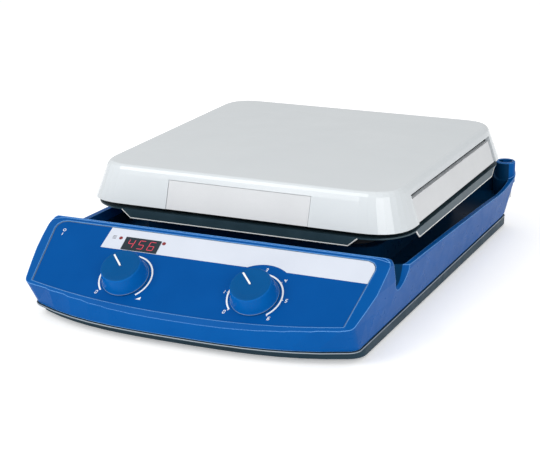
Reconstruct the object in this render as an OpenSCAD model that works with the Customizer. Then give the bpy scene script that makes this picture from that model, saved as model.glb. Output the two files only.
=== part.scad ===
// Hotplate magnetic stirrer with a square ceramic set-up plate.
// Millimetres, +Z up, front towards -Y. Origin: centre of the footprint, at the underside of the feet.

/* [Overall] */
// Width across the top corners of the control console
body_w = 300; // [300:1:300]
// Depth from the console lip to the rear wall
body_d = 415; // [415:1:415]
// Height of the set-up surface above the bench
body_h = 105; // [105:1:105]

/* [Plate] */
// Side length of the flat set-up surface
plate_flat = 260; // [250:1:264]
// Half width of the plate skirt at its lower edge
plate_foot = 143.3; // [140:0.1:145]
// Height of the lower edge of the plate skirt
plate_z = 74.3; // [72:0.1:77]
// Distance of the plate centre behind the origin
plate_y = 46; // [40:0.5:50]
// Plan corner radius of the plate at its lower edge
plate_corner = 36; // [30:1:42]
// Thickness of the ceramic slab
slab_t = 5; // [4:0.5:8]
// Thickness of the plate skirt
skirt_t = 3; // [2.4:0.1:4]

/* [Console] */
// Tilt of the control panel from the horizontal
panel_tilt = 32.07; // [30:0.1:35]
// Depth position of the console lip corners
lip_y = -195.4; // [-197:0.1:-193]
// Height of the console lip corners
lip_z = 32.7; // [31:0.1:34]
// Length of the panel slope
panel_len = 70.8; // [68:0.1:73]
// Distance of each knob from the middle plane
knob_x = 56; // [50:0.5:60]
// Distance of the knob axes up the panel slope
knob_s = 18.6; // [17:0.1:20]

/* [Knobs] */
// Radius of a knob at its skirt
knob_r = 19; // [17:0.1:20]
// Radius of a knob at its top
knob_top_r = 16.3; // [15:0.1:17]
// Height of a knob
knob_h = 14; // [12:0.5:16]
// Radius of a potentiometer shaft
pot_r = 3; // [3:0.1:3.2]

/* [Housing] */
// General wall thickness of the moulded housing
wall = 2.5; // [2:0.1:3.5]
// Height of the floor of the spill trough
deck_z = 32; // [28:1:36]
// Height of the pedestal under the plate
pedestal_z = 50; // [46:1:54]
// Half width of the pedestal
pedestal_w = 108; // [100:1:112]
// Thickness of the base pan floor
pan_t = 2.5; // [2:0.1:3]
// Height of the upper edge of the base pan
pan_top = 10.4; // [9:0.1:11]
// Height of the base pan underside above the bench
pan_z = 2; // [1.5:0.1:3]

/* [Rod socket] */
// Distance of the rod socket from the middle plane
rod_x = 139.5; // [139:0.1:140]
// Distance of the rod socket behind the origin
rod_y = 197.8; // [197:0.1:198]
// Outer radius of the rod socket boss
rod_boss_r = 9.2; // [9:0.1:9.4]
// Height of the top of the rod socket boss
rod_top = 64; // [60:0.5:66]
// Radius of the tapped hole wall
rod_hole_r = 4.25; // [4:0.05:5]
// Depth of the tapped hole
rod_hole_d = 26; // [20:1:28]

/* [Stirring drive] */
// Radius of the motor body
motor_r = 31; // [26:1:34]
// Radius of the motor shaft
shaft_r = 3; // [3:0.1:4]
// Radius of the magnet carrier
carrier_r = 40; // [34:1:44]

/* [Hidden] */
// Render one sub-part, or all of them

shell_z0 = 11;
flange_t = 1.4;
pan_corner_y = -172;
pan_mid_y = -198.4;
hw = body_w / 2;
hd = body_d / 2;
rear_bottom_y = hd - 4;
chin_corner_y = -180.5;
chin_corner_k = 0.68;
chin_mid_k = 0;
front_r = 6.5;
ear_r = 8;
lip_bow = 2.3;
chin_bow = 3;
chin_mid_y = -hd + chin_mid_k * (lip_z + (-hd - lip_y) * tan(panel_tilt) - shell_z0);
side_fit = [[0, 139.6], [11, 139.8], [14, 141.6], [33, 146], [50, 150], [100, 150]];
front_fit = [[0, 140], [11, 140.2], [33, 141.2], [70.3, 150], [100, 150]];
panel_top_y = lip_y + panel_len * cos(panel_tilt);
panel_top_z = lip_z + panel_len * sin(panel_tilt);
recess_n = -1.2;
foil_t = 0.5;
knob_n = -0.2;
rod_seat = rod_top - 5;
stand_gap = 0.02;
run_gap = 0.05;
sw_y = -150;
sw_z = 38;
inlet_x = -84;
inlet_z = 28;
board_n = -19;
pointer_len = 13.4;
pointer_s = 7.2;
shield_z = 69;
sheet_t = 1.2;
spreader_z = 93;
mat_z = 77;
post_xy = 82;
motor_z = 9;
carrier_z = 54;
seg = 8;

housing_blue = [0.04, 0.34, 0.63];
knob_blue = [0.02, 0.30, 0.53];
white = [0.9, 0.92, 0.93];
dark = [0.12, 0.13, 0.15];
steel = [0.72, 0.73, 0.75];
brass = [0.78, 0.64, 0.3];
green = [0.1, 0.38, 0.2];

// Quadratic curve through a corner, used for every rounded plan corner
function bend(a, v, b, n) = [for (i = [0:n]) let (t = i / n)
  (1 - t) * (1 - t) * a + 2 * t * (1 - t) * v + t * t * b];

function corner_y(z) = chin_corner_y - chin_corner_k * (z - shell_z0);
function mid_y(z) = chin_mid_y - chin_mid_k * (z - shell_z0);
function rear_y(z) = z >= 40 ? hd
  : rear_bottom_y + (hd - rear_bottom_y) * (z - shell_z0) / (40 - shell_z0);
function front_x(z, i) = lookup(z, front_fit) - i;
function side_x(z, i, y) = let (xw = lookup(z, side_fit), xf = lookup(z, front_fit), y0 = corner_y(z),
  t = max(0, (-105 - y) / (-105 - y0))) xw - (xw - xf) * t * t - i;
function bow(z) = lookup(z, [[shell_z0, chin_bow], [lip_z, lip_bow]]);
function front_y(z, i, x) = let (c = corner_y(z) + i, m = mid_y(z) + i, u = x / front_x(z, i))
  m + (c - m) * pow(u, bow(z));

// Right half of the plan outline of the housing at height z, set in by i,
// from the front middle to the rear middle
function half_ring(z, i, d, r) = let (
    xf = front_x(z, i), c = corner_y(z) + i, yb = rear_y(z) - i, xw = lookup(z, side_fit) - i,
    front = [for (k = [0:7]) let (x = (xf - d) * k / 7) [x, front_y(z, i, x)]],
    fc = bend([xf - d, front_y(z, i, xf - d)], [xf, c], [side_x(z, i, c + d), c + d], seg),
    side = [for (k = [1:5]) let (y = c + d + (-105 - c - d) * k / 5) [side_x(z, i, y), y]],
    rc = bend([xw, yb - r], [xw, yb], [xw - r, yb], seg))
  concat(front, [for (k = [1:seg]) fc[k]], side, rc);
function plan_ring(z, i, d, r) = let (h = half_ring(z, i, d, r), n = len(h))
  [for (k = [0:2 * n - 2]) k < n ? [h[k][0], h[k][1], z]
    : [-h[2 * n - 1 - k][0], h[2 * n - 1 - k][1], z]];
function pan_front(x, w, i) = pan_mid_y + i + (pan_corner_y - pan_mid_y) * pow(x / w, chin_bow);
// Plan outline of a square with rounded corners
function square_ring(h, r, z) = [for (q = [0:3]) let (a = 90 * q)
  for (p = bend([h, h - r], [h, h], [h - r, h], seg))
  [p[0] * cos(a) - p[1] * sin(a), p[0] * sin(a) + p[1] * cos(a), z]];

module loft(rings) {
  n = len(rings[0]);
  m = len(rings);
  low = [for (i = [0:n - 1]) i];
  high = [for (i = [n - 1:-1:0]) (m - 1) * n + i];
  a = [for (k = [0:m - 2]) for (i = [0:n - 1])
    [k * n + i, (k + 1) * n + i, (k + 1) * n + (i + 1) % n]];
  b = [for (k = [0:m - 2]) for (i = [0:n - 1])
    [k * n + i, (k + 1) * n + (i + 1) % n, k * n + (i + 1) % n]];
  polyhedron(points = [for (r = rings) for (p = r) p], faces = concat([low, high], a, b));
}
module yz_prism(points, half) {
  rotate([90, 0, 90]) translate([0, 0, -half]) linear_extrude(2 * half) polygon(points);
}
module on_panel() {
  translate([0, lip_y, lip_z]) rotate([panel_tilt, 0, 0]) children();
}
module at_plate() {
  translate([0, plate_y, 0]) children();
}
module four(x, y) {
  for (sx = [-1, 1]) for (sy = [-1, 1]) translate([sx * x, sy * y, 0]) children();
}
module ring_tube(r_out, r_in, h) {
  difference() {
    cylinder(r = r_out, h = h, $fn = 64);
    translate([0, 0, -1]) cylinder(r = r_in, h = h + 2, $fn = 64);
  }
}
module round_square(h, r, t) {
  linear_extrude(t) difference() {
    square(2 * h, center = true);
    for (q = [0:3]) rotate(90 * q) translate([h - r, h - r]) difference() {
      square(r + 1);
      circle(r, $fn = 96);
    }
  }
}

// ---------- housing ----------
panel_k = tan(panel_tilt);
crown_drop = 0.28;
function panel_line(y, n) = lip_z + (y - lip_y) * panel_k + n / cos(panel_tilt);
rim_line = [[-133.5, panel_top_z - 0.6], [-127, 65.2], [-119, 59.8], [-110, 56], [-100, 54],
  [-88, 53.4], [-49, 52.4], [20, 50], [104, 46.4], [150, 43.8], [165, 44], [177, 45.2],
  [188, 47.6], [196, 50.5], [202, 54], [207.5, 57.5], [230, 58]];
keep_profile = concat([[-240, 0], [-240, panel_line(-240, 0)], [panel_top_y, panel_top_z]],
  rim_line, [[230, 0]]);
trough_profile = [[-129.5, 90], [-129, 68], [-126.5, 60], [-119, 39], [-116.5, 35],
  [-111, deck_z], [230, deck_z], [230, 90]];
cavity_profile = [[-240, 0], [-240, panel_line(-240, recess_n - wall)],
  [-134.6, panel_line(-134.6, recess_n - wall)], [-129.5, 58], [-121.5, 35],
  [-117, deck_z - wall], [230, deck_z - wall], [230, 0]];

module outer_form(i, z0, z1) {
  loft([for (z = [z0, 14, 33, 50, z1]) plan_ring(z, i, front_r - i, 14 - i)]);
}
module trough_plan(z0, z1) {
  r = 30;
  loft([for (z = [z0, z1]) let (x = hw - 4.6 + (z - 50) * 0.06, y0 = -130, y1 = hd - 4.4)
    [for (p = concat(bend([x, y1 - 12], [x, y1], [x - 12, y1], seg),
      bend([-x + 12, y1], [-x, y1], [-x, y1 - 12], seg),
      bend([-x, y0 + r], [-x, y0], [-x + r, y0], seg),
      bend([x - r, y0], [x, y0], [x, y0 + r], seg))) [p[0], p[1], z]]]);
}
module pedestal_form(i, z0, z1) {
  at_plate() loft([square_ring(pedestal_w - i + 2, 24, z0), square_ring(pedestal_w - i, 22, z1)]);
}
module inlet_cover(i, top) {
  translate([inlet_x - 30 + i, hd - 36 + i, 20]) cube([60 - 2 * i, 40 - 2 * i - 7, top - 20]);
}
module scoop(g) {
  translate([hw + 6, -112, 0]) rotate_extrude($fn = 96) polygon([[0, 34 - g],
    [5 + g / 2, 35 - g], [9 + g, 38 - g], [13 + g, 43], [16 + g, 50], [19 + g, 60],
    [22 + g, 72], [0, 72]]);
}
function foil_points(g) = let (w = 134.3 - g, arc = [for (k = [-8:8]) let (x = w * k / 8)
  [x, -9.6 + g + 11.8 * pow(abs(x) / 134.3, lip_bow)]])
  concat(arc, [[140.5 - g, 58], [139.6 - g, 61.8 - g / 2], [137 - g * 0.7, 64.9 - g * 0.8],
    [132.5 - g / 2, 66.4 - g], [-132.5 + g / 2, 66.4 - g], [-137 + g * 0.7, 64.9 - g * 0.8],
    [-139.6 + g, 61.8 - g / 2], [-140.5 + g, 58]]);
module foil_outline(g) {
  polygon(foil_points(g));
}
// The raised panel: flat under the foil, falling away in a chamfer to the edges of the console
module crown() {
  top = [for (p = foil_points(-0.5)) [p[0], p[1], 0]];
  edge = [for (p = foil_points(-14)) [p[0], p[1], -13.5 * crown_drop]];
  foot = [for (p = foil_points(-14)) [p[0], p[1], -60]];
  loft([foot, edge, top]);
}
// Rounds the two upper corners of the console
module ear_cut() {
  for (side = [-1, 1]) scale([side, 1, 1]) difference() {
    translate([hw - ear_r, -150, panel_top_z - ear_r]) cube([20, 60, 20]);
    translate([hw - ear_r, -89, panel_top_z - ear_r]) rotate([90, 0, 0])
      cylinder(r = ear_r, h = 62, $fn = 64);
  }
}
module housing_shell() {
  color(housing_blue) difference() {
    union() {
      intersection() {
        outer_form(0, shell_z0, 75);
        yz_prism(keep_profile, hw + 5);
        union() {
          on_panel() crown();
          translate([-200, panel_top_y - 0.2, 0]) cube([400, 400, 100]);
        }
      }
      translate([rod_x, rod_y, 44]) cylinder(r = rod_boss_r, h = rod_top - 44.8, $fn = 64);
      translate([rod_x, rod_y, rod_top - 0.8])
        cylinder(r1 = rod_boss_r, r2 = rod_boss_r - 0.8, h = 0.8, $fn = 64);
    }
    difference() {
      intersection() {
        trough_plan(10, 90);
        yz_prism(trough_profile, hw);
      }
      pedestal_form(0, 5, pedestal_z);
      inlet_cover(0, 44);
      scoop(2.4);
      translate([rod_x, rod_y, 0]) cylinder(r = 11, h = 57, $fn = 48);
      translate([rod_x, rod_y, 56.9]) cylinder(r1 = 11, r2 = rod_boss_r, h = 1.2, $fn = 48);
      translate([rod_x, rod_y, 0]) cylinder(r = rod_boss_r, h = 90, $fn = 64);
    }
    difference() {
      intersection() {
        outer_form(wall + 0.6, shell_z0 - 1, 75);
        yz_prism(cavity_profile, hw);
      }
      translate([rod_x, rod_y, 20]) cylinder(r = rod_boss_r, h = 20, $fn = 48);
    }
    pedestal_form(wall, 10, pedestal_z - wall);
    inlet_cover(wall, 44 - wall);
    scoop(0);
    ear_cut();
    on_panel() translate([0, 0, recess_n]) linear_extrude(10) foil_outline(-0.15);
    on_panel() for (x = [-knob_x, knob_x]) translate([x, knob_s, -12]) cylinder(r = 4.6, h = 20, $fn = 32);
    on_panel() translate([-57, 51.7, -6]) cube([31, 12, 20], center = true);
    on_panel() for (x = [-77.6, -38.4]) translate([x, 56.4, -12]) cylinder(r = 1.7, h = 20, $fn = 24);
    translate([-hw - 1, sw_y - 8.2, sw_z - 11.7]) cube([7.5, 16.4, 23.4]);
    translate([-hw, sw_y - 6.6, sw_z - 10.1]) cube([14, 13.2, 20.2]);
    translate([inlet_x - 26.1, hd - 12, inlet_z - 12.1]) cube([52.2, 20, 24.2]);
    translate([rod_x, rod_y, rod_seat - rod_hole_d - 4]) cylinder(r = 6.6, h = 60, $fn = 64);
    at_plate() translate([0, 0, 40]) cylinder(r = 9, h = 20, $fn = 48);
    at_plate() translate([0, 0, 40]) four(post_xy, post_xy) cylinder(r = 2.2, h = 20, $fn = 24);
  }
}
module rod_socket() {
  color(steel) translate([rod_x, rod_y, 0]) difference() {
    translate([0, 0, rod_seat - rod_hole_d - 4]) cylinder(r = 6.5, h = rod_hole_d + 4, $fn = 96);
    translate([0, 0, rod_seat - rod_hole_d]) cylinder(r = rod_hole_r, h = rod_hole_d + 1, $fn = 96);
    translate([0, 0, rod_seat - 1]) cylinder(r1 = rod_hole_r, r2 = rod_hole_r + 1.2, h = 1.2, $fn = 96);
  }
}

// ---------- base ----------
module flange_outline(i, h) {
  linear_extrude(h) polygon([for (p = plan_ring(shell_z0, -0.7 + i, front_r, 14)) [p[0], p[1]]]);
}
module pan_outline(i, h) {
  w = side_x(shell_z0, -0.7 + i, 0);
  d = 9;
  yb = rear_bottom_y + 0.7 - i;
  half = concat([for (k = [0:8]) let (x = (w - d) * k / 8) [x, pan_front(x, w, i)]],
    bend([w - d, pan_front(w - d, w, i)], [w, pan_corner_y + i], [w, pan_corner_y + i + d], seg),
    bend([w, yb - d], [w, yb], [w - d, yb], seg));
  n = len(half);
  linear_extrude(h) polygon(concat(half, [for (k = [n - 1:-1:1]) [-half[k][0], half[k][1]]]));
}
module foot_places() {
  for (p = [[-118, -156], [118, -156], [-118, 184], [118, 184]]) translate([p[0], p[1], 0]) children();
}
module pan_screw_places() {
  for (p = [[-96, -172], [96, -172], [-126, 20], [126, 20], [-80, 192], [80, 192]])
    translate([p[0], p[1], 0]) children();
}
module base_pan() {
  color(dark) difference() {
    union() {
      translate([0, 0, pan_z]) pan_outline(0, pan_top - pan_z);
      translate([0, 0, pan_top - flange_t]) flange_outline(0, flange_t);
    }
    translate([0, 0, pan_z + pan_t]) pan_outline(3.4, 20);
    foot_places() translate([0, 0, -1]) cylinder(r = 3.1, h = 12, $fn = 32);
    pan_screw_places() translate([0, 0, -1]) cylinder(r = 1.8, h = 12, $fn = 24);
  }
}
module pan_seal() {
  color(dark) difference() {
    translate([0, 0, pan_top]) flange_outline(1.6, shell_z0 - pan_top);
    translate([0, 0, pan_top - 1]) flange_outline(3, 5);
  }
}
module rubber_feet() {
  color([0.06, 0.06, 0.07]) foot_places() {
    translate([0, 0, 0.6]) cylinder(r = 9, h = pan_z - 0.6, $fn = 64);
    cylinder(r1 = 8.4, r2 = 9, h = 0.6, $fn = 64);
    translate([0, 0, pan_z]) cylinder(r = 3.08, h = pan_t, $fn = 32);
    translate([0, 0, pan_z + pan_t]) cylinder(r1 = 4.2, r2 = 2.6, h = 2, $fn = 32);
  }
}
module base_screws() {
  color(steel) pan_screw_places() {
    translate([0, 0, pan_z - 1.2]) cylinder(r = 3.1, h = 1.2, $fn = 32);
    translate([0, 0, pan_z]) cylinder(r = 1.5, h = 7, $fn = 24);
  }
}

// ---------- control panel ----------
module control_foil() {
  color(knob_blue) on_panel() difference() {
    translate([0, 0, recess_n]) linear_extrude(foil_t) foil_outline(0);
    for (x = [-knob_x, knob_x]) translate([x, knob_s, -5]) cylinder(r = 4.4, h = 10, $fn = 48);
    translate([-57, 51.7, 0]) cube([30.4, 11.4, 20], center = true);
    for (x = [-77.6, -38.4]) translate([x, 56.4, -5]) cylinder(r = 1.6, h = 10, $fn = 32);
  }
}
module label_band() {
  color(white) on_panel() difference() {
    translate([0, 0, recess_n + foil_t]) linear_extrude(0.2) polygon([[-91.2, 44.8],
      [139.2, 44.8], [139.9, 57.8], [139, 61.4], [136.6, 64.4], [132.3, 66], [-89.8, 66]]);
    translate([knob_x, knob_s, -5]) cylinder(r = 31, h = 10, $fn = 128);
    translate([-57, 51.7, 0]) cube([30.4, 11.4, 20], center = true);
    for (x = [-77.6, -38.4]) translate([x, 56.4, -5]) cylinder(r = 1.6, h = 10, $fn = 32);
  }
}
module display_window() {
  color([0.12, 0.03, 0.04]) on_panel() {
    translate([-57, 51.7, recess_n + foil_t + 0.4]) cube([32, 13, 0.4], center = true);
    translate([-57, 51.7, -1.1]) cube([30, 11, 1.2], center = true);
  }
}
module display_module() {
  color(dark) on_panel() translate([-57, 51.7, (board_n + 1.6 - 1.8) / 2])
    cube([30, 11, -1.8 - board_n - 1.6], center = true);
}
module indicator_lenses() {
  color([0.45, 0.03, 0.03]) on_panel() for (x = [-77.6, -38.4])
    translate([x, 56.4, -4]) cylinder(r = 1.55, h = 3.7, $fn = 32);
}
module indicator_leds() {
  color([0.6, 0.1, 0.1]) on_panel() for (x = [-77.6, -38.4])
    translate([x, 56.4, board_n + 1.6]) cylinder(r = 1.5, h = -4 - board_n - 1.6, $fn = 32);
}
module knob() {
  // turned body with a dished top, hollow behind the skirt, with a bored hub
  difference() {
    translate([0, 0, knob_n]) rotate_extrude($fn = 128) polygon([[0, knob_h - 0.9], [10, knob_h - 0.6],
      [knob_top_r - 2, knob_h], [knob_top_r - 0.6, knob_h - 0.3],
      [knob_top_r, knob_h - 1.1], [knob_r - 0.3, 1.6], [knob_r, 1.2], [knob_r, 0], [knob_r - 1.8, 0],
      [knob_top_r - 2.2, knob_h - 3.4], [5.6, knob_h - 3.4], [5.6, 4.6], [0, 4.6]]);
    translate([0, 0, 1]) cylinder(r = pot_r + stand_gap, h = 9.2, $fn = 64);
    translate([0, pointer_s, knob_n + knob_h]) cube([1.4, pointer_len, 2.4], center = true);
  }
}
module pointer() {
  translate([0, pointer_s, knob_n + knob_h - 0.6]) cube([1.36, pointer_len - 0.04, 1.1], center = true);
}
module knob_place(x) {
  on_panel() translate([x, knob_s, 0]) rotate([0, 0, 45]) children();
}
module pot_shaft() {
  translate([0, 0, -11]) cylinder(r = pot_r, h = 21, $fn = 64);
}
module pot_body() {
  difference() {
    union() {
      translate([0, 0, -17.2]) cylinder(r = 8, h = 13.4, $fn = 64);
      translate([0, 0, -3.8]) cylinder(r = 4.3, h = 7.4, $fn = 64);
    }
    translate([0, 0, -11.5]) cylinder(r = pot_r + run_gap, h = 20, $fn = 64);
  }
}
module pot_nut() {
  translate([0, 0, recess_n + foil_t]) difference() {
    cylinder(r = 6.4, h = 2.2, $fn = 6);
    translate([0, 0, -1]) cylinder(r = 4.32, h = 6, $fn = 64);
  }
}
module temp_knob() { color(knob_blue) knob_place(-knob_x) knob(); }
module temp_pointer() { color(white) knob_place(-knob_x) pointer(); }
module temp_shaft() { color(brass) knob_place(-knob_x) pot_shaft(); }
module temp_pot() { color(steel) knob_place(-knob_x) pot_body(); }
module temp_nut() { color(steel) knob_place(-knob_x) pot_nut(); }
module speed_knob() { color(knob_blue) knob_place(knob_x) knob(); }
module speed_pointer() { color(white) knob_place(knob_x) pointer(); }
module speed_shaft() { color(brass) knob_place(knob_x) pot_shaft(); }
module speed_pot() { color(steel) knob_place(knob_x) pot_body(); }
module speed_nut() { color(steel) knob_place(knob_x) pot_nut(); }
module board_post_places() {
  for (p = [[-98, 30], [-98, 58], [98, 30], [98, 58]]) translate([p[0], p[1], 0]) children();
}
module control_board() {
  color(green) on_panel() difference() {
    translate([-106, 6, board_n]) cube([212, 58, 1.6]);
    board_post_places() translate([0, 0, board_n - 1]) cylinder(r = 1.6, h = 4, $fn = 32);
  }
}
module board_posts() {
  color(steel) on_panel() board_post_places() {
    translate([0, 0, board_n + 1.6]) cylinder(r = 3, h = -wall + recess_n - board_n - 1.6, $fn = 32);
    translate([0, 0, board_n - 2]) cylinder(r = 2.6, h = 2, $fn = 32);
    translate([0, 0, board_n - 0.1]) cylinder(r = 1.55, h = 2, $fn = 32);
  }
}

// ---------- power switch and inlet ----------
module switch_frame() {
  color(dark) difference() {
    union() {
      translate([-145, sw_y - 8, sw_z - 11.5]) cube([1.5, 16, 23]);
      translate([-143.5, sw_y - 6.5, sw_z - 10]) cube([17, 13, 20]);
    }
    translate([-150, sw_y - 5.3, sw_z - 9.6]) cube([19, 10.6, 19.2]);
  }
}
module power_rocker() {
  color(dark) translate([-140.5, sw_y, sw_z]) rotate([90, 0, 0]) intersection() {
    cylinder(r = 9.1, h = 9.8, center = true, $fn = 96);
    linear_extrude(9.8, center = true) polygon([[4.5, -2.5], [-1.5, -9.2], [-6.2, -9.2],
      [-4.6, 0], [-7.6, 9.2], [-1.5, 9.2], [4.5, 2.5]]);
  }
}
module mains_inlet() {
  color(dark) difference() {
    union() {
      translate([inlet_x - 26, hd - 5, inlet_z - 12]) cube([52, 3.2, 24]);
      translate([inlet_x - 25, hd - 29, inlet_z - 11]) cube([50, 24.5, 22]);
    }
    translate([inlet_x - 23, hd - 25, inlet_z - 8.3]) cube([25, 30, 16.6]);
    translate([inlet_x + 6, hd - 27, inlet_z - 8.3]) cube([16, 30, 16.6]);
  }
}
module inlet_pins() {
  color(steel) translate([inlet_x - 10.5, hd - 28, inlet_z]) {
    for (x = [-7, 7]) translate([x - 1, 0, -3]) cube([2, 20, 4]);
    translate([-1, 0, 2]) cube([2, 22, 4]);
  }
}
module fuse_drawer() {
  color(dark) difference() {
    translate([inlet_x + 6.3, hd - 26, inlet_z - 8]) cube([15.4, 25, 16]);
    translate([inlet_x + 8.3, hd - 24, inlet_z - 4]) cube([11.4, 20, 13]);
    translate([inlet_x + 10, hd - 2.2, inlet_z + 5]) cube([8, 4, 4]);
  }
}

// ---------- power electronics ----------
module power_post_places() {
  for (p = [[-86, -62], [-86, -98], [86, -62], [86, -98]]) translate([p[0], p[1], 0]) children();
}
module power_board() {
  color(green) difference() {
    translate([-92, -104, 12]) cube([184, 48, 1.6]);
    power_post_places() cylinder(r = 1.6, h = 30, $fn = 32);
  }
}
module power_board_posts() {
  color(brass) power_post_places() {
    translate([0, 0, pan_z + pan_t]) cylinder(r = 3, h = 12 - pan_z - pan_t, $fn = 32);
    translate([0, 0, 12]) cylinder(r = 1.55, h = 1.6, $fn = 32);
    translate([0, 0, 13.6]) cylinder(r = 2.8, h = 1.6, $fn = 32);
  }
}
module transformer() {
  color([0.5, 0.36, 0.2]) {
    translate([-60, -98, 13.6]) cube([34, 34, 8]);
    translate([-56, -92, 21.6]) cube([26, 22, 5.5]);
  }
}

// ---------- stirring drive ----------
module motor_body() {
  color(steel) at_plate() difference() {
    union() {
      translate([0, 0, motor_z]) cylinder(r = motor_r, h = 27, $fn = 96);
      translate([0, 0, motor_z + 27]) cylinder(r = 11, h = 3, $fn = 64);
    }
    translate([0, 0, motor_z + 3]) cylinder(r = shaft_r + 0.4, h = 40, $fn = 48);
    translate([0, 0, motor_z + 25]) cylinder(r = 8.02, h = 20, $fn = 64);
  }
}
module bearing() {
  color(steel) at_plate() translate([0, 0, motor_z + 25]) ring_tube(8, shaft_r + run_gap, 5);
}
module motor_bracket() {
  color(steel) at_plate() difference() {
    union() {
      translate([0, 0, motor_z - 2]) cylinder(r = motor_r + 6, h = 2, $fn = 96);
      translate([-50, -12, motor_z - 2]) cube([100, 24, 2]);
    }
    for (s = [-1, 1]) translate([s * 45, 0, 0]) cylinder(r = 2, h = 20, $fn = 32);
  }
}
module motor_feet() {
  color([0.06, 0.06, 0.07]) at_plate() for (s = [-1, 1]) translate([s * 45, 0, pan_z + pan_t]) {
    cylinder(r = 5, h = motor_z - 2 - pan_z - pan_t, $fn = 48);
    cylinder(r = 1.95, h = motor_z - pan_z - pan_t + 1.5, $fn = 32);
  }
}
module motor_shaft() {
  color(steel) at_plate() translate([0, 0, motor_z + 3.4])
    cylinder(r = shaft_r, h = carrier_z + 9 - motor_z - 3.4, $fn = 64);
}
module magnet_carrier() {
  color([0.3, 0.3, 0.33]) at_plate() translate([0, 0, carrier_z]) difference() {
    union() {
      cylinder(r = carrier_r, h = 4, $fn = 96);
      cylinder(r = 9, h = 9.6, $fn = 64);
      for (s = [-1, 1]) translate([s * 26, 0, 4]) cylinder(r = 12.4, h = 4, $fn = 64);
    }
    translate([0, 0, -1]) cylinder(r = shaft_r + stand_gap, h = 10, $fn = 64);
    for (s = [-1, 1]) translate([s * 26, 0, 3]) cylinder(r = 10.02, h = 8, $fn = 64);
  }
}
module drive_magnets() {
  color([0.55, 0.56, 0.6]) at_plate() for (s = [-1, 1])
    translate([s * 26, 0, carrier_z + 3]) cylinder(r = 10, h = 9, $fn = 64);
}

// ---------- heating plate ----------
module plate_form(i, cap) {
  f = plate_foot - i;
  top = plate_flat / 2 - i;
  h = body_h - cap;
  at_plate() loft([square_ring(f, plate_corner - i, plate_z - (cap > 0 ? 1 : 0)),
    square_ring(top + 5.6, 31 - i, h - 7.4), square_ring(top + 4.2, 29.4 - i, h - 3.6),
    square_ring(top + 2.6, 27.8 - i, h - 1.4), square_ring(top + 1, 26.4 - i, h - 0.3),
    square_ring(top, 25.6 - i, h)]);
}
module side_windows(end, top) {
  for (a = [0, 180]) at_plate() rotate(a) translate([plate_foot - 15, -102 + end, 70])
    cube([20, 210 - 2 * end, 27.5 - top]);
}
module front_windows(end, top) {
  for (a = [0, 180]) at_plate() rotate(a) translate([-64 + end, plate_foot - 15, 70])
    cube([128 - 2 * end, 20, 27.5 - top]);
}
module plate_cover() {
  color(white) difference() {
    plate_form(0, 0);
    plate_form(skirt_t, slab_t);
    side_windows(0, 0);
    front_windows(0, 0);
  }
}
module window_panels() {
  color([0.86, 0.86, 0.85]) {
    intersection() {
      difference() {
        plate_form(1.6, 0);
        plate_form(skirt_t + 0.8, slab_t);
      }
      side_windows(2.4, 4.4);
      translate([-200, -200, plate_z]) cube([400, 500, 40]);
    }
    intersection() {
      difference() {
        plate_form(0.3, 0);
        plate_form(skirt_t - 0.4, slab_t);
      }
      front_windows(0.4, 0.4);
      translate([-200, -200, plate_z]) cube([400, 500, 40]);
    }
  }
}
module spreader_plate() {
  color(steel) at_plate() translate([0, 0, spreader_z]) difference() {
    round_square(122, 24, body_h - slab_t - spreader_z);
    four(post_xy, post_xy) translate([0, 0, -1]) cylinder(r = 2.1, h = 5, $fn = 32);
    translate([0, 0, -1]) cylinder(r = 2.6, h = 5, $fn = 32);
  }
}
module heating_element() {
  color([0.45, 0.4, 0.38]) at_plate() {
    for (r = [34, 62, 98]) translate([0, 0, spreader_z - 3.2])
      rotate_extrude($fn = 128) translate([r, 0]) circle(3.2, $fn = 32);
    for (a = [200, 220]) rotate(a) translate([66, 0, spreader_z - 3.2])
      rotate([0, 90, 0]) cylinder(r = 2.4, h = 31, $fn = 32);
    for (a = [20, 340]) rotate(a) translate([35, 0, spreader_z - 3.2])
      rotate([0, 90, 0]) cylinder(r = 2.4, h = 26, $fn = 32);
  }
}
module insulation_mat() {
  color([0.82, 0.8, 0.72]) at_plate() translate([0, 0, mat_z]) difference() {
    round_square(128, 30, 9);
    four(post_xy, post_xy) translate([0, 0, -1]) cylinder(r = 6.4, h = 12, $fn = 48);
    translate([0, 0, -1]) cylinder(r = 8, h = 12, $fn = 48);
    translate([34, 34, -1]) cylinder(r = 9.5, h = 12, $fn = 48);
  }
}
module heat_shield() {
  flange_z = 62.6;
  color([0.35, 0.37, 0.4]) at_plate() difference() {
    union() {
      translate([0, 0, shield_z]) round_square(142.4, 36, sheet_t);
      for (a = [0:90:270]) rotate(a) translate([142.4 - sheet_t, 0, 0])
        rotate([90, 0, 90]) linear_extrude(sheet_t) polygon([[-106, shield_z + 0.4],
          [-98, flange_z], [98, flange_z], [106, shield_z + 0.4]]);
    }
    four(post_xy, post_xy) translate([0, 0, shield_z - 1]) cylinder(r = 4.2, h = 5, $fn = 48);
    translate([0, 0, shield_z - 1]) cylinder(r = 6, h = 5, $fn = 48);
    translate([34, 34, shield_z - 1]) cylinder(r = 4, h = 5, $fn = 48);
  }
}
module tower_ring() {
  color([0.16, 0.17, 0.19]) at_plate() translate([0, 0, pedestal_z]) difference() {
    round_square(100, 18, shield_z - pedestal_z);
    translate([0, 0, -1]) round_square(98.5, 16.5, 30);
  }
}
module insulation_tray() {
  color([0.3, 0.32, 0.34]) at_plate() difference() {
    translate([0, 0, mat_z - 1]) round_square(129.6, 31, 19.5);
    translate([0, 0, mat_z]) round_square(128.6, 30, 30);
    four(post_xy, post_xy) translate([0, 0, mat_z - 2]) cylinder(r = 4.2, h = 5, $fn = 48);
    translate([0, 0, mat_z - 2]) cylinder(r = 6, h = 5, $fn = 48);
    translate([34, 34, mat_z - 2]) cylinder(r = 4, h = 5, $fn = 48);
  }
}
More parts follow.
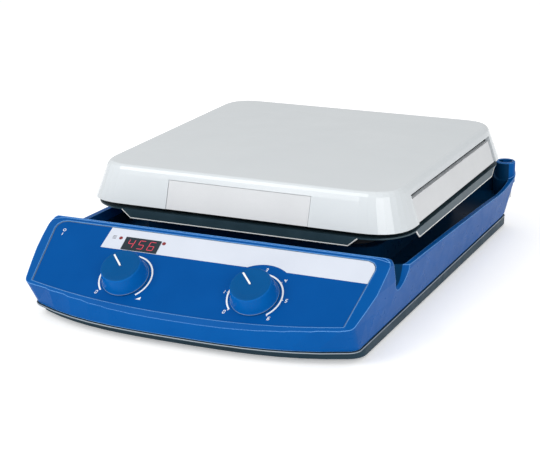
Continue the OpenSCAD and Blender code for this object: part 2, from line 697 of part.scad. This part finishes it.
module plate_spacers() {
  color(steel) at_plate() four(post_xy, post_xy) difference() {
    union() {
      translate([0, 0, pedestal_z]) cylinder(r = 6, h = shield_z - pedestal_z, $fn = 48);
      translate([0, 0, shield_z]) cylinder(r = 4, h = spreader_z - shield_z, $fn = 48);
    }
    translate([0, 0, pedestal_z - 1]) cylinder(r = 2.05, h = 50, $fn = 32);
  }
}
module spacer_screws() {
  color(steel) at_plate() four(post_xy, post_xy) {
    translate([0, 0, pedestal_z - wall])
      cylinder(r = 2, h = spreader_z + 3.5 - pedestal_z + wall, $fn = 32);
    translate([0, 0, pedestal_z - wall - 3]) cylinder(r = 3.6, h = 3, $fn = 48);
  }
}
module plate_sensor() {
  color(brass) at_plate() {
    translate([0, 0, shield_z - 1.5]) cylinder(r = 2.5, h = spreader_z + 3.5 - shield_z + 1.5, $fn = 48);
    translate([0, 0, shield_z + sheet_t]) cylinder(r = 7, h = 2, $fn = 48);
  }
}
module thermal_cutout() {
  color(dark) at_plate() translate([34, 34, 0]) {
    translate([0, 0, mat_z + 0.6]) cylinder(r = 9, h = spreader_z - mat_z - 0.6, $fn = 48);
    for (s = [-1, 1]) translate([s * 2.2, 0, shield_z - 2])
      cylinder(r = 0.9, h = mat_z - shield_z + 3, $fn = 24);
  }
}

base_pan();
pan_seal();
rubber_feet();
base_screws();
housing_shell();
rod_socket();
control_foil();
label_band();
display_window();
display_module();
indicator_lenses();
indicator_leds();
temp_knob();
temp_pointer();
temp_shaft();
temp_pot();
temp_nut();
speed_knob();
speed_pointer();
speed_shaft();
speed_pot();
speed_nut();
control_board();
board_posts();
switch_frame();
power_rocker();
mains_inlet();
inlet_pins();
fuse_drawer();
power_board();
power_board_posts();
transformer();
motor_body();
motor_bracket();
motor_feet();
bearing();
motor_shaft();
magnet_carrier();
drive_magnets();
plate_cover();
window_panels();
spreader_plate();
heating_element();
insulation_mat();
heat_shield();
tower_ring();
insulation_tray();
plate_spacers();
spacer_screws();
plate_sensor();
thermal_cutout();
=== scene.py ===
"""Visual model of a ceramic-top hotplate magnetic stirrer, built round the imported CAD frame."""
import math

import bmesh
import bpy
from mathutils import Matrix, Vector


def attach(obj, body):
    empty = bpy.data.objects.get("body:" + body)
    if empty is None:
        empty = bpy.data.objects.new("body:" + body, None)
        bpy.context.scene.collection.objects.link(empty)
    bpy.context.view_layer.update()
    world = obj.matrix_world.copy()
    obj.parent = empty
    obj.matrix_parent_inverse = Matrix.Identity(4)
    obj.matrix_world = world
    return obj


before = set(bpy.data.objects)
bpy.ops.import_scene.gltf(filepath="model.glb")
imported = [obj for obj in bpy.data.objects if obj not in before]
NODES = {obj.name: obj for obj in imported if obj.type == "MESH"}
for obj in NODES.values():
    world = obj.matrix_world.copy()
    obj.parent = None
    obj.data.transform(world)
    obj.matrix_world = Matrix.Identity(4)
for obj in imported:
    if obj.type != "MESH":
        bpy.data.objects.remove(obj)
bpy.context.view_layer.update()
MM = 0.001
BASE = "stirrer"


# ---------- camera ----------
CAMERA_ANGLES = (24.89, 17.23, -0.63)
CAMERA_LENS = 102.99
CAMERA_PLACE = Vector((529.42, -1170.86, 438.94)) * MM


def aim_camera():
    """A long lens looking down on the front right corner."""
    azimuth, elevation, roll = (math.radians(a) for a in CAMERA_ANGLES)
    level = math.cos(elevation)
    back = Vector((math.sin(azimuth) * level, -math.cos(azimuth) * level, math.sin(elevation)))
    right = Vector((0, 0, 1)).cross(back).normalized()
    up = back.cross(right)
    right_r = right * math.cos(roll) + up * math.sin(roll)
    up_r = up * math.cos(roll) - right * math.sin(roll)
    data = bpy.data.cameras.new("camera")
    data.lens = CAMERA_LENS
    data.sensor_width = 36
    data.clip_start = 0.05
    data.clip_end = 20
    camera = bpy.data.objects.new("camera", data)
    turn = Matrix((right_r, up_r, back)).transposed().to_4x4()
    camera.matrix_world = Matrix.Translation(CAMERA_PLACE) @ turn
    bpy.context.scene.collection.objects.link(camera)
    bpy.context.scene.camera = camera


aim_camera()

# ---------- the panel's own frame: x across, s up the slope, n out of it ----------
PANEL_TILT = math.radians(32.07)
PANEL_ORIGIN = Vector((0, -195.4, 32.7)) * MM
PANEL_TURN = Matrix.Rotation(PANEL_TILT, 4, "X")
RECESS_N = -1.2
FOIL_TOP = RECESS_N + 0.5
PRINT_TOP = FOIL_TOP + 0.12
KNOB_X = 56.0
KNOB_S = 18.6
KNOB_FOOT_R = 19.05
PLATE_Y = 46.0
# The box of the spill trough, where the housing colour gets painted shade.
TROUGH_SHADE_BOX = ((-145.0, -131.5, 31.5), (145.0, 203.2, 63.0))


def panel(x, s, n=0.0):
    """A point given on the sloping panel in millimetres, in the frame's metres."""
    return PANEL_ORIGIN + (PANEL_TURN @ Vector((x, s, n))) * MM


def link(name, mesh, material, body=BASE):
    """A new piece from a mesh, riding on a body."""
    piece = bpy.data.objects.new(name, mesh)
    bpy.context.scene.collection.objects.link(piece)
    mesh.materials.append(material)
    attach(piece, body)
    return piece


def smooth(mesh, angle=35):
    """Smooth shading with sharp edges where faces meet steeply."""
    for poly in mesh.polygons:
        poly.use_smooth = True
    mesh.set_sharp_from_angle(angle=math.radians(angle))


# ---------- materials ----------
class Nodes:
    """A small wrapper that makes node trees short to write."""

    def __init__(self, name):
        self.material = bpy.data.materials.new(name)
        self.material.use_nodes = True
        self.tree = self.material.node_tree
        self.tree.nodes.clear()
        self.out = self.tree.nodes.new("ShaderNodeOutputMaterial")
        self.shader = self.tree.nodes.new("ShaderNodeBsdfPrincipled")
        self.tree.links.new(self.shader.outputs[0], self.out.inputs[0])
        self.place = self.tree.nodes.new("ShaderNodeTexCoord").outputs["Object"]

    def wire(self, socket, value):
        """Feeds an input from another node's output, or sets it."""
        if hasattr(value, "is_output"):
            self.tree.links.new(value, socket)
        else:
            socket.default_value = value

    def add(self, kind, **inputs):
        """A new node, its inputs named with _ for a space."""
        node = self.tree.nodes.new(kind)
        for key, value in inputs.items():
            self.wire(node.inputs[key.replace("_", " ")], value)
        return node

    def noise(self, scale, detail=3.0, rough=0.5, stretch=None):
        """Noise in the object's own frame, stretched along an axis if asked."""
        place = self.place
        if stretch:
            mapping = self.tree.nodes.new("ShaderNodeMapping")
            mapping.inputs["Scale"].default_value = stretch
            self.tree.links.new(place, mapping.inputs["Vector"])
            place = mapping.outputs[0]
        node = self.add("ShaderNodeTexNoise", Vector=place, Scale=scale, Detail=detail, Roughness=rough)
        return node.outputs["Fac"]

    def ramp(self, value, low, high, start=0.3, end=0.7):
        """Maps a value from start..end to low..high."""
        node = self.tree.nodes.new("ShaderNodeMapRange")
        node.inputs["From Min"].default_value = start
        node.inputs["From Max"].default_value = end
        node.inputs["To Min"].default_value = low
        node.inputs["To Max"].default_value = high
        self.tree.links.new(value, node.inputs["Value"])
        return node.outputs[0]

    def blend(self, value, low, high, start=0.3, end=0.7):
        """A colour between two, by a value from start to end."""
        node = self.tree.nodes.new("ShaderNodeValToRGB")
        node.color_ramp.elements[0].position = start
        node.color_ramp.elements[0].color = (*low, 1)
        node.color_ramp.elements[1].position = end
        node.color_ramp.elements[1].color = (*high, 1)
        self.tree.links.new(value, node.inputs["Fac"])
        return node.outputs[0]

    def set(self, **inputs):
        """Sets the shader's own inputs, named with _ for a space."""
        for key, value in inputs.items():
            self.wire(self.shader.inputs[key.replace("_", " ")], value)

    def math(self, kind, a, b):
        """One sum on two values, each a socket or a number."""
        node = self.tree.nodes.new("ShaderNodeMath")
        node.operation = kind
        for socket, value in zip(node.inputs, (a, b)):
            self.wire(socket, value)
        return node.outputs[0]

    def mix(self, value, low, high):
        """Blends two colours, each a socket or three numbers."""
        node = self.tree.nodes.new("ShaderNodeMix")
        node.data_type = "RGBA"
        self.tree.links.new(value, node.inputs[0])
        for socket, colour in ((node.inputs[6], low), (node.inputs[7], high)):
            self.wire(socket, colour if hasattr(colour, "is_output") else (*colour, 1))
        return node.outputs[2]

    def facing(self, direction, start, end):
        """1 where the surface faces a direction of the object's own frame, else 0."""
        turn = self.tree.nodes.new("ShaderNodeVectorMath")
        turn.operation = "DOT_PRODUCT"
        normal = self.tree.nodes.new("ShaderNodeTexCoord").outputs["Normal"]
        self.tree.links.new(normal, turn.inputs[0])
        turn.inputs[1].default_value = direction
        return self.ramp(turn.outputs["Value"], 0.0, 1.0, start, end)

    def inside(self, low, high):
        """1 inside a box of the object's own frame, given in millimetres, else 0."""
        split = self.tree.nodes.new("ShaderNodeSeparateXYZ")
        self.tree.links.new(self.place, split.inputs[0])
        value = None
        for axis in range(3):
            above = self.math("GREATER_THAN", split.outputs[axis], low[axis] * MM)
            below = self.math("LESS_THAN", split.outputs[axis], high[axis] * MM)
            both = self.math("MULTIPLY", above, below)
            value = both if value is None else self.math("MULTIPLY", value, both)
        return value

    def edges(self, rounded):
        """1 along sharp edges, 0 on flats, from how far the rounded normal leans away."""
        lean = self.tree.nodes.new("ShaderNodeVectorMath")
        lean.operation = "DOT_PRODUCT"
        flat = self.tree.nodes.new("ShaderNodeNewGeometry").outputs["Normal"]
        self.tree.links.new(rounded, lean.inputs[0])
        self.tree.links.new(flat, lean.inputs[1])
        return self.ramp(lean.outputs["Value"], 1.0, 0.0, 0.93, 0.99)

    def round_edges(self, radius):
        """Shades sharp edges as if they had a moulded radius."""
        bevel = self.tree.nodes.new("ShaderNodeBevel")
        bevel.samples = 8
        bevel.inputs["Radius"].default_value = radius
        return bevel.outputs[0]

    def bump(self, height, distance, normal=None):
        """Fine relief on the surface, over a rounded normal if one is given."""
        node = self.add("ShaderNodeBump", Height=height, Distance=distance, Strength=1.0)
        if normal is not None:
            self.tree.links.new(normal, node.inputs["Normal"])
        self.tree.links.new(node.outputs[0], self.shader.inputs["Normal"])


def plastic(name, dark, light, rough=(0.28, 0.4), grain=2200.0, depth=0.00002,
            coat=0.0, cloud=30.0, shine=0.5):
    """Moulded plastic with a fine grain and slight colour drift."""
    m = Nodes(name)
    m.set(Specular_IOR_Level=shine, Coat_Weight=coat, Coat_Roughness=0.12)
    m.set(Base_Color=m.blend(m.noise(cloud, 4), dark, light), Roughness=m.ramp(m.noise(cloud * 3, 3), *rough))
    m.bump(m.noise(grain, 2), depth)
    return m.material


def metal(name, dark, light, rough=(0.25, 0.42), stretch=None, scale=900.0, depth=0.00001, weight=1.0):
    """Brushed or turned metal."""
    m = Nodes(name)
    lines = m.noise(scale, 4, 0.6, stretch)
    m.set(Base_Color=m.blend(m.noise(60, 4), dark, light), Metallic=weight, Roughness=m.ramp(lines, *rough))
    m.bump(lines, depth)
    return m.material


def ceramic(name, dark, light, rough=(0.16, 0.24)):
    """Glossy glazed plate with very faint clouding and glaze ripple."""
    m = Nodes(name)
    m.set(Base_Color=m.blend(m.noise(14, 5), dark, light), Roughness=m.ramp(m.noise(40, 3), *rough))
    m.set(Coat_Weight=0.25, Coat_Roughness=0.08)
    m.bump(m.noise(180, 2), 0.000008)
    return m.material


def glowing(name, colour, strength):
    """A lit display segment with a slightly uneven face."""
    m = Nodes(name)
    drift = m.noise(700, 2)
    m.set(Base_Color=m.blend(drift, [c * 0.7 for c in colour], colour), Roughness=m.ramp(drift, 0.3, 0.5))
    m.set(Emission_Color=(*colour, 1), Emission_Strength=strength)
    return m.material


def housing_material():
    """Satin blue moulding with lighter edges as painted highlight, darker in the spill trough under the plate
    as painted shade.
    """
    m = Nodes("housing_blue")
    blue = m.blend(m.noise(30, 4), (0.0012, 0.078, 0.300), (0.0020, 0.088, 0.330))
    trough = m.inside(*TROUGH_SHADE_BOX)
    rounded = m.round_edges(0.0011)
    # Painted highlight: a light blue laid along sharp edges, found from the rounded normal, and left out
    # inside the trough.
    edge = m.math("MULTIPLY", m.edges(rounded), m.math("SUBTRACT", 1.0, trough))
    # Painted shade: the blue is darkened to near-black navy inside the trough box.
    body = m.mix(trough, blue, (0.0012, 0.030, 0.085))
    m.set(Base_Color=m.mix(edge, body, (0.14, 0.36, 0.74)), Roughness=m.ramp(m.noise(90, 3), 0.26, 0.36))
    m.set(Specular_IOR_Level=0.03)
    m.bump(m.noise(2200, 2), 0.000012, normal=rounded)
    return m.material


def knob_material():
    """Turned knob: a satin top inside a glossier skirt; the same blue is painted darker on the top as painted
    shade and lighter on the skirt as painted light.
    """
    m = Nodes("knob_blue")
    top = m.facing(PANEL_TURN @ Vector((0, 0, 1)), 0.90, 0.97)
    grain = m.noise(40, 4)
    # Painted light and shade: the same blue is lighter on the skirt and darker on the flat top, chosen by
    # which way the surface faces.
    skirt = m.blend(grain, (0.0015, 0.100, 0.370), (0.0020, 0.112, 0.400))
    face = m.blend(grain, (0.0008, 0.070, 0.230), (0.0010, 0.078, 0.255))
    m.set(Base_Color=m.mix(top, skirt, face), Roughness=m.ramp(top, 0.22, 0.40, 0.0, 1.0))
    m.set(Specular_IOR_Level=0.05)
    m.bump(m.noise(2200, 2), 0.00002, normal=m.round_edges(0.0006))
    return m.material


HOUSING = housing_material()
FOIL = plastic("foil_blue", (0.0006, 0.070, 0.283), (0.0010, 0.077, 0.305),
               (0.34, 0.46), grain=3200, shine=0.03)
KNOB = knob_material()
PAN = plastic("base_slate", (0.024, 0.048, 0.066), (0.030, 0.058, 0.080), (0.34, 0.48), shine=0.06)
WHITE = plastic("print_white", (0.80, 0.83, 0.86), (0.86, 0.88, 0.90), (0.35, 0.5), grain=2600)
BAND = plastic("band_white", (0.60, 0.64, 0.72), (0.63, 0.67, 0.75), (0.35, 0.5), grain=2600, shine=0.2)
BLACK = plastic("black_plastic", (0.010, 0.011, 0.013), (0.016, 0.017, 0.020), (0.32, 0.5))
RUBBER = plastic("rubber", (0.014, 0.014, 0.016), (0.024, 0.024, 0.026),
                 (0.6, 0.8), grain=900, depth=0.00004)
BOARD = plastic("board_green", (0.012, 0.085, 0.030), (0.018, 0.110, 0.040), (0.3, 0.45))
PLATE = ceramic("plate_ceramic", (0.610, 0.650, 0.675), (0.630, 0.668, 0.690))
PANEL_GREY = plastic("panel_grey", (0.61, 0.625, 0.64), (0.64, 0.655, 0.67), (0.3, 0.42), grain=1500)
# Painted highlight: a near-white, non-metal finish for the thin bead along the heat shield's flange edges.
HEM_HIGHLIGHT = metal("hem_painted_highlight", (0.86, 0.87, 0.85), (0.92, 0.92, 0.90), (0.25, 0.36), weight=0.0)
# Painted highlight: light grey for the bead along the base pan's top edge.
LIP_HIGHLIGHT = plastic("lip_painted_highlight", (0.26, 0.30, 0.33), (0.31, 0.35, 0.38), (0.35, 0.45))
LINE = plastic("line_grey", (0.10, 0.15, 0.22), (0.13, 0.18, 0.25), (0.4, 0.5), shine=0.1)
ICON = plastic("icon_grey", (0.16, 0.17, 0.20), (0.20, 0.21, 0.24), (0.4, 0.5), grain=2600)
RING = plastic("ring_blue", (0.10, 0.20, 0.40), (0.13, 0.24, 0.44), (0.25, 0.35), shine=0.2)
SHIELD = metal("shield_steel", (0.022, 0.052, 0.070), (0.034, 0.070, 0.092),
               (0.34, 0.5), stretch=(1, 1, 14), weight=0.3)
TOWER = plastic("tower_dark", (0.004, 0.006, 0.012), (0.007, 0.010, 0.018), (0.5, 0.7), grain=700)
STEEL = metal("steel", (0.50, 0.51, 0.53), (0.62, 0.63, 0.65))
BRASS = metal("brass", (0.55, 0.38, 0.12), (0.68, 0.50, 0.20))
ALUMINIUM = metal("aluminium", (0.58, 0.59, 0.60), (0.70, 0.71, 0.72), (0.3, 0.5))
ELEMENT = metal("element_sheath", (0.12, 0.09, 0.08), (0.22, 0.18, 0.16), (0.4, 0.6))
WOOL = plastic("insulation", (0.52, 0.49, 0.40), (0.66, 0.63, 0.54),
               (0.85, 0.95), grain=500, depth=0.0004, cloud=120)
CORE = plastic("transformer_core", (0.20, 0.11, 0.04), (0.30, 0.18, 0.08), (0.4, 0.6))
WINDOW = plastic("window_dark", (0.016, 0.026, 0.034), (0.022, 0.034, 0.044),
                 (0.14, 0.22), depth=0.000003, shine=0.2)
LENS = plastic("lens_red", (0.16, 0.004, 0.008), (0.24, 0.010, 0.014),
               (0.12, 0.2), depth=0.000003, coat=0.5)
GLOW = glowing("segment_red", (0.62, 0.045, 0.085), 0.30)

LOOKS = {
    HOUSING: ["housing_shell"],
    FOIL: ["control_foil"],
    KNOB: ["temp_knob", "speed_knob"],
    PAN: ["base_pan"],
    BAND: ["label_band"],
    WHITE: ["temp_pointer", "speed_pointer"],
    BLACK: ["switch_frame", "power_rocker", "mains_inlet", "fuse_drawer", "display_module",
            "thermal_cutout"],
    RUBBER: ["pan_seal", "rubber_feet", "motor_feet"],
    BOARD: ["control_board", "power_board"],
    PLATE: ["plate_cover"],
    PANEL_GREY: ["window_panels"],
    SHIELD: ["heat_shield", "insulation_tray"],
    TOWER: ["tower_ring"],
    STEEL: ["base_screws", "rod_socket", "temp_nut", "speed_nut", "board_posts", "motor_bracket",
            "motor_shaft", "bearing", "inlet_pins", "plate_spacers", "spacer_screws"],
    BRASS: ["temp_shaft", "speed_shaft", "power_board_posts", "plate_sensor"],
    ALUMINIUM: ["temp_pot", "speed_pot", "motor_body", "magnet_carrier", "drive_magnets", "spreader_plate"],
    ELEMENT: ["heating_element"],
    WOOL: ["insulation_mat"],
    CORE: ["transformer"],
    WINDOW: ["display_window"],
    LENS: ["indicator_lenses", "indicator_leds"],
}
for look, names in LOOKS.items():
    for name in names:
        node = NODES[name]
        node.data.materials.clear()
        node.data.materials.append(look)


# ---------- printed marks on the panel ----------
def prism(mesh, outline, low, high, place):
    """Adds a flat plate with the given outline, between two heights above the panel."""
    bottom = [mesh.verts.new(place(x, y, low)) for x, y in outline]
    top = [mesh.verts.new(place(x, y, high)) for x, y in outline]
    mesh.faces.new(list(reversed(bottom)))
    mesh.faces.new(top)
    count = len(outline)
    for i in range(count):
        j = (i + 1) % count
        mesh.faces.new((bottom[i], bottom[j], top[j], top[i]))


def arc_outline(radius, width, start, end, steps=72):
    """A thin ring sector, with its angle in degrees clockwise from up the slope."""
    angles = [math.radians(start + (end - start) * k / steps) for k in range(steps + 1)]
    near, far = radius - width / 2, radius + width / 2
    inner = [(near * math.sin(a), near * math.cos(a)) for a in angles]
    outer = [(far * math.sin(a), far * math.cos(a)) for a in reversed(angles)]
    return inner + outer


SEGMENTS = {
    "a": ((0, 2), (1, 2)), "b": ((1, 2), (1, 1)), "c": ((1, 1), (1, 0)), "d": ((0, 0), (1, 0)),
    "e": ((0, 1), (0, 0)), "f": ((0, 2), (0, 1)), "g": ((0, 1), (1, 1)),
}
LIT = {0: "abcdef", 1: "bc", 2: "abged", 3: "abgcd", 4: "fgbc", 5: "afgcd", 6: "afgecd"}
SMALL_DIGIT = (1.5, 2.9, 0.5, 0.2)
LARGE_DIGIT = (4.9, 8.4, 0.62, 0.10)


def digit_bars(number, width, height, thick, slant):
    """Outlines of the lit bars of a seven-bar digit centred on the origin."""
    bars = []
    for key in LIT[number]:
        ends = [Vector(((c - 0.5) * width, (r - 1) * height / 2)) for c, r in SEGMENTS[key]]
        along = (ends[1] - ends[0]).normalized()
        side = Vector((-along.y, along.x)) * thick / 2
        a, b = ends[0] + along * thick * 0.55, ends[1] - along * thick * 0.55
        tip = along * thick / 2
        outline = [a - tip, a - side, b - side, b + tip, b + side, a + side]
        bars.append([(p.x + p.y * slant, p.y) for p in outline])
    return bars


def marks(name, outlines, low, high, material):
    """One piece made of flat marks between two heights above the panel."""
    mesh = bmesh.new()
    for outline in outlines:
        prism(mesh, outline, low, high, panel)
    bmesh.ops.recalc_face_normals(mesh, faces=mesh.faces)
    data = bpy.data.meshes.new(name)
    mesh.to_mesh(data)
    mesh.free()
    return link(name, data, material)


def at(outline, x, s):
    """An outline moved to a place on the panel."""
    return [(px + x, py + s) for px, py in outline]


def scale_marks():
    """A ring scale round each knob, and the numbers of the speed scale."""
    ring_r, ring_w, sweep = 21.9, 1.3, 135
    rings = []
    for x in (-KNOB_X, KNOB_X):
        rings.append(at(arc_outline(ring_r, ring_w, -sweep, sweep), x, KNOB_S))
    numbers = []
    for k in range(7):
        angle = math.radians(-sweep + 45 * k)
        radius = ring_r + 4.2
        x, s = KNOB_X + radius * math.sin(angle), KNOB_S + radius * math.cos(angle)
        numbers += [at(bar, x, s) for bar in digit_bars(k, *SMALL_DIGIT)]
        tick = [(-0.3, ring_r), (0.3, ring_r), (0.3, ring_r + 1.5), (-0.3, ring_r + 1.5)]
        c, d = math.cos(angle), math.sin(angle)
        turned = [(px * c + py * d, py * c - px * d) for px, py in tick]
        numbers.append(at(turned, KNOB_X, KNOB_S))
    end_x = (ring_r + 3.6) * math.sin(math.radians(sweep))
    end_s = KNOB_S + (ring_r + 3.6) * math.cos(math.radians(sweep))
    numbers += [at(bar, -KNOB_X - end_x, end_s) for bar in digit_bars(0, *SMALL_DIGIT)]
    numbers.append(at([(-0.6, -1.4), (3.4, 1.4), (3.4, -1.4)], -KNOB_X + end_x, end_s))
    marks("scale_rings", rings, FOIL_TOP, PRINT_TOP, WHITE)
    marks("scale_numbers", numbers, FOIL_TOP, PRINT_TOP, WHITE)


scale_marks()


def display_digits():
    """Three lit digits just under the display window's face."""
    bars = []
    for k, number in enumerate((4, 5, 6)):
        bars += [at(bar, -66.2 + 9.3 * k, 51.7) for bar in digit_bars(number, *LARGE_DIGIT)]
    marks("display_digits", bars, -0.12, -0.02, GLOW)


display_digits()


def panel_icons():
    """Small generic marks: three bars beside the display, and a ring and a bar for the switch."""
    stroke = [(-1.6, -0.3), (1.6, -0.3), (1.6, 0.3), (-1.6, 0.3)]
    bars = [at(stroke, -83.6, 55.2 + 1.3 * k) for k in range(3)]
    marks("display_icon", bars, FOIL_TOP + 0.2, FOIL_TOP + 0.28, ICON)
    ring = at(arc_outline(1.2, 0.45, 0, 354, 24), -131.0, 57.0)
    bar = at([(-0.25, -1.2), (0.25, -1.2), (0.25, 1.2), (-0.25, 1.2)], -131.0, 52.6)
    marks("switch_marks", [ring, bar], FOIL_TOP, FOIL_TOP + 0.1, WHITE)


panel_icons()


# ---------- thin beads: sheet edges, base lip and knob foot rings ----------
BEAD_SIDES = 8


def bead(name, paths, radius, material, closed, body=BASE):
    """A thin round edge swept along each path of points."""
    mesh = bmesh.new()
    for path in paths:
        count = len(path)
        rings = []
        for i, point in enumerate(path):
            before = path[i - 1] if i or closed else point
            after = path[(i + 1) % count] if i + 1 < count or closed else point
            along = (after - before).normalized()
            flat = along.cross(Vector((0, 0, 1)))
            flat = flat.normalized() if flat.length > 0.001 else Vector((1, 0, 0))
            rise = flat.cross(along).normalized()
            turns = [2 * math.pi * k / BEAD_SIDES for k in range(BEAD_SIDES)]
            lean = [flat * math.cos(t) + rise * math.sin(t) for t in turns]
            rings.append([mesh.verts.new(point + way * radius) for way in lean])
        for i in range(count if closed else count - 1):
            a, b = rings[i], rings[(i + 1) % count]
            for k in range(BEAD_SIDES):
                after = (k + 1) % BEAD_SIDES
                mesh.faces.new((a[k], a[after], b[after], b[k]))
        if not closed:
            mesh.faces.new(list(reversed(rings[0])))
            mesh.faces.new(rings[-1])
    bmesh.ops.recalc_face_normals(mesh, faces=mesh.faces)
    data = bpy.data.meshes.new(name)
    mesh.to_mesh(data)
    mesh.free()
    smooth(data, 50)
    return link(name, data, material, body=body)


def shield_hems():
    """The rolled edge along the foot of each flange of the heat shield, coloured near white as a painted
    highlight.
    """
    profile = ((-106, 69.4), (-98, 62.6), (98, 62.6), (106, 69.4))
    face = 142.4 - 0.6
    paths = []
    for quarter in range(4):
        turn = Matrix.Rotation(math.radians(90 * quarter), 4, "Z")
        centre = Vector((0, PLATE_Y, 0))
        paths.append([(centre + turn @ Vector((face, y, z))) * MM for y, z in profile])
    bead("shield_hem", paths, 0.75 * MM, HEM_HIGHLIGHT, False)


def outline_of(points):
    """The outer outline of flat points, in order."""
    points = sorted({(round(x, 6), round(y, 6)) for x, y in points})

    def half(row):
        chain = []
        for p in row:
            while len(chain) > 1:
                (ax, ay), (bx, by) = chain[-2], chain[-1]
                if (bx - ax) * (p[1] - ay) - (by - ay) * (p[0] - ax) > 0:
                    break
                chain.pop()
            chain.append(p)
        return chain[:-1]

    return half(points) + half(points[::-1])


def base_lip():
    """A light grey bead along the top of the base pan's flange, a painted highlight on its edge."""
    top = 10.4 * MM
    radius = 0.42 * MM
    flat = [v.co for v in NODES["base_pan"].data.vertices if abs(v.co.z - top) < 0.00005]
    path = [Vector((x, y, top - 0.45 * MM)) for x, y in outline_of([(c.x, c.y) for c in flat])]
    bead("base_lip", [path], radius, LIP_HIGHLIGHT, True)


def foil_line():
    """The thin grey line in the joint round the edge of the panel foil."""
    height = FOIL_TOP * MM
    spread = [(PANEL_TURN.inverted() @ (v.co - PANEL_ORIGIN)) for v in NODES["control_foil"].data.vertices]
    flat = outline_of([(p.x, p.y) for p in spread])
    path = [PANEL_ORIGIN + PANEL_TURN @ Vector((x * 0.998, y, height)) for x, y in flat]
    bead("foil_line", [path], 0.38 * MM, LINE, True)


def knob_rings():
    """A fine light ring at the foot of each knob."""
    for name, x, body in (("temp_ring", -KNOB_X, "temp_control"), ("speed_ring", KNOB_X, "speed_control")):
        angles = [2 * math.pi * k / 96 for k in range(96)]
        foot = [(x + KNOB_FOOT_R * math.cos(a), KNOB_S + KNOB_FOOT_R * math.sin(a)) for a in angles]
        path = [panel(px, ps, 0.35) for px, ps in foot]
        bead(name, [path], 0.28 * MM, RING, True, body=body)


shield_hems()
base_lip()
foil_line()
knob_rings()


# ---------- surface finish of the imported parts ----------
for node in NODES.values():
    smooth(node.data, 30)
even = NODES["housing_shell"].modifiers.new("even", "WEIGHTED_NORMAL")
even.keep_sharp = True


# ---------- studio ----------
def studio():
    """A pale floor, a bright surround and soft area lights."""
    size = 6.0
    floor_mesh = bpy.data.meshes.new("floor")
    corners = [(-size, -size, 0), (size, -size, 0), (size, size, 0), (-size, size, 0)]
    floor_mesh.from_pydata(corners, [], [(0, 1, 2, 3)])
    floor = bpy.data.objects.new("floor", floor_mesh)
    bpy.context.scene.collection.objects.link(floor)
    ground = Nodes("floor_white")
    ground.set(Base_Color=ground.blend(ground.noise(3), (0.93, 0.93, 0.93), (0.95, 0.95, 0.95)))
    ground.set(Roughness=0.9, Emission_Color=(1, 1, 1, 1), Emission_Strength=0.32)
    floor_mesh.materials.append(ground.material)
    world = bpy.data.worlds.new("world")
    world.use_nodes = True
    background = world.node_tree.nodes["Background"]
    background.inputs["Color"].default_value = (1, 1, 1, 1)
    background.inputs["Strength"].default_value = 0.62
    bpy.context.scene.world = world
    lights = (
        ("key", (-0.9, -1.3, 1.3), 1.2, 17.5),
        ("fill", (1.2, -1.3, 0.7), 1.0, 8.5),
        ("top", (0.1, 0.5, 1.8), 1.6, 4.5),
    )
    for name, where, width, power in lights:
        data = bpy.data.lights.new(name, "AREA")
        data.size = width
        data.energy = power
        lamp = bpy.data.objects.new(name, data)
        lamp.location = where
        lamp.rotation_euler = (Vector((0, 0, 0.05)) - Vector(where)).to_track_quat("-Z", "Y").to_euler()
        bpy.context.scene.collection.objects.link(lamp)
    bpy.context.scene.view_settings.view_transform = "Standard"


studio()
